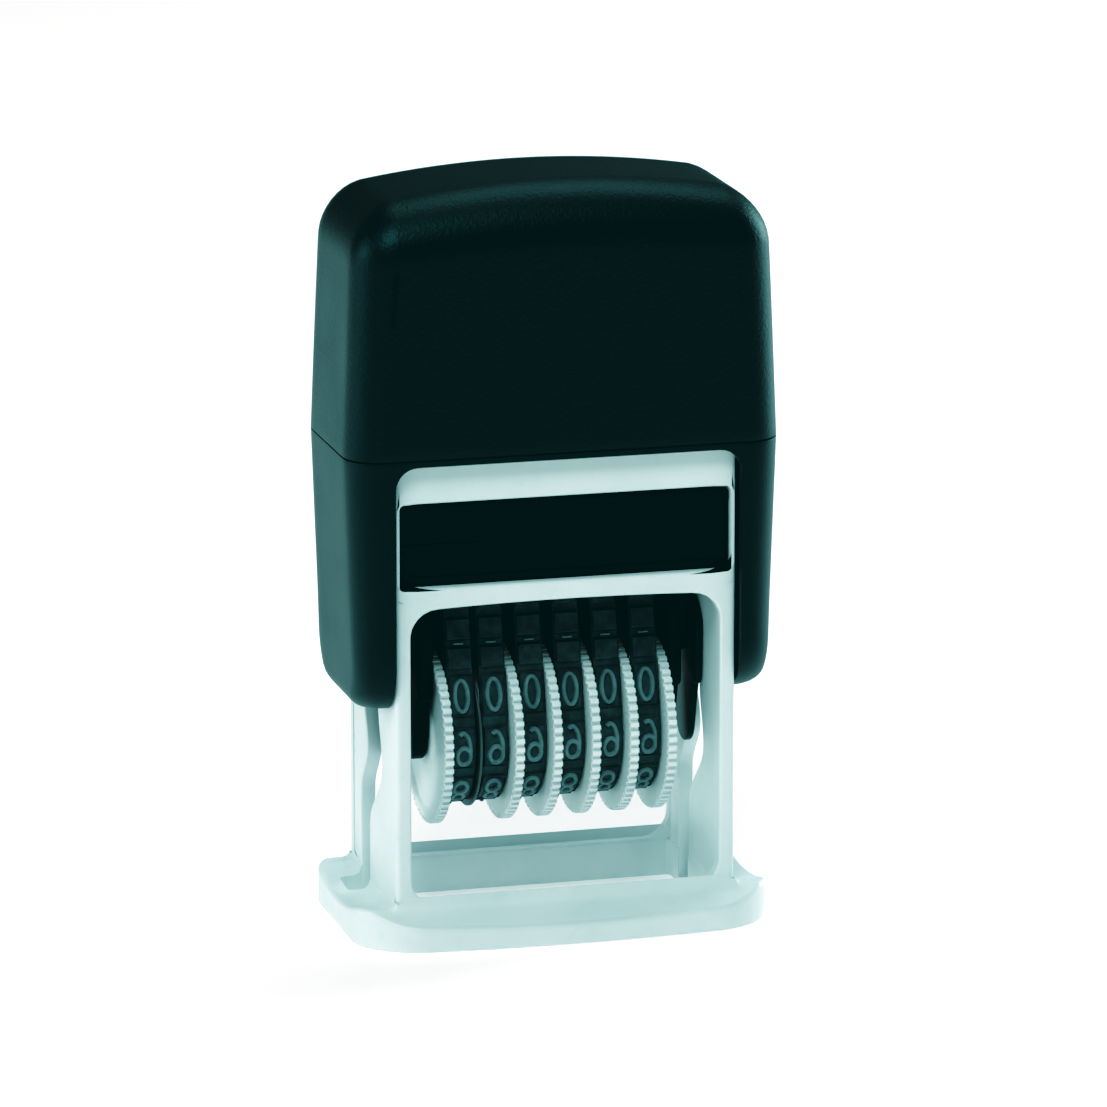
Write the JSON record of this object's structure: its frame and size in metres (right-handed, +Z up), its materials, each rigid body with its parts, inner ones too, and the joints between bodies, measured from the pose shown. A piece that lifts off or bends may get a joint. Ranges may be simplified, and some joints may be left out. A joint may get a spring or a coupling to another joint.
{
  "type": "self-inking number stamp",
  "caption": "Self-inking office number stamp: a sprung black cap on a white footed frame flips a print unit of rubber number bands set by knurled wheels.",
  "frame": {"origin": "centre of the base foot's underside", "axes": "+X to the stamp's right, +Y to its back, +Z up along the press stroke"},
  "size_m": [0.0488, 0.0298, 0.0839],
  "materials": {
    "frame_white": "satin",
    "cap_black": "fine grain",
    "cartridge_black": "satin",
    "pad_felt": "inked felt",
    "yoke_black": "satin",
    "unit_black": "satin",
    "rod_steel": "drawn",
    "spring_steel": "bright wire",
    "spacer_grey": "satin",
    "wheel_white": "satin",
    "band_rubber": "moulded"
  },
  "bodies": {
    "frame": {"base_frame": "frame_white"},
    "ink_cartridge": {"pad_cartridge": "cartridge_black", "ink_pad": "pad_felt"},
    "cap": {"cap_shell": "cap_black", "drive_yoke": "yoke_black", "return_spring": "spring_steel"},
    "print_unit": {"cheek_left": "unit_black", "cheek_right": "unit_black", "anvil": "unit_black", "tie_rod": "unit_black", "wheel_shaft": "rod_steel", "flip_crank_left": "yoke_black", "flip_crank_right": "yoke_black", "centre_spacer": "spacer_grey", "number_band_1": "band_rubber", "number_band_2": "band_rubber", "number_band_3": "band_rubber", "number_band_4": "band_rubber", "number_band_5": "band_rubber", "number_band_6": "band_rubber"},
    "wheel_1": {"number_wheel_1": "wheel_white"},
    "wheel_2": {"number_wheel_2": "wheel_white"},
    "wheel_3": {"number_wheel_3": "wheel_white"},
    "wheel_4": {"number_wheel_4": "wheel_white"},
    "wheel_5": {"number_wheel_5": "wheel_white"},
    "wheel_6": {"number_wheel_6": "wheel_white"}
  },
  "joints": [
    {"name": "cap_press", "type": "slide", "parent": "frame", "child": "cap", "axis": [0, 0, -1], "range_m": [0, 0.0214], "stiffness_N_per_m": 500, "springref_m": -0.008, "deforming": ["return_spring"]},
    {"name": "print_flip", "type": "hinge", "parent": "cap", "child": "print_unit", "pos_m": [0, 0.001, 0.03144], "axis": [1, 0, 0], "range_deg": [0, 180]},
    {"name": "cartridge_pull", "type": "slide", "parent": "frame", "child": "ink_cartridge", "axis": [0, -1, 0], "range_m": [0, 0.028]},
    {"name": "wheel_1_turn", "type": "hinge", "parent": "print_unit", "child": "wheel_1", "pos_m": [0, 0.001, 0.02075], "axis": [1, 0, 0], "continuous": true},
    {"name": "wheel_2_turn", "type": "hinge", "parent": "print_unit", "child": "wheel_2", "pos_m": [0, 0.001, 0.02075], "axis": [1, 0, 0], "continuous": true},
    {"name": "wheel_3_turn", "type": "hinge", "parent": "print_unit", "child": "wheel_3", "pos_m": [0, 0.001, 0.02075], "axis": [1, 0, 0], "continuous": true},
    {"name": "wheel_4_turn", "type": "hinge", "parent": "print_unit", "child": "wheel_4", "pos_m": [0, 0.001, 0.02075], "axis": [1, 0, 0], "continuous": true},
    {"name": "wheel_5_turn", "type": "hinge", "parent": "print_unit", "child": "wheel_5", "pos_m": [0, 0.001, 0.02075], "axis": [1, 0, 0], "continuous": true},
    {"name": "wheel_6_turn", "type": "hinge", "parent": "print_unit", "child": "wheel_6", "pos_m": [0, 0.001, 0.02075], "axis": [1, 0, 0], "continuous": true}
  ],
  "couplings": [
    {"joint": "print_flip", "follows": "cap_press", "rad_per_m": 146.8}
  ]
}
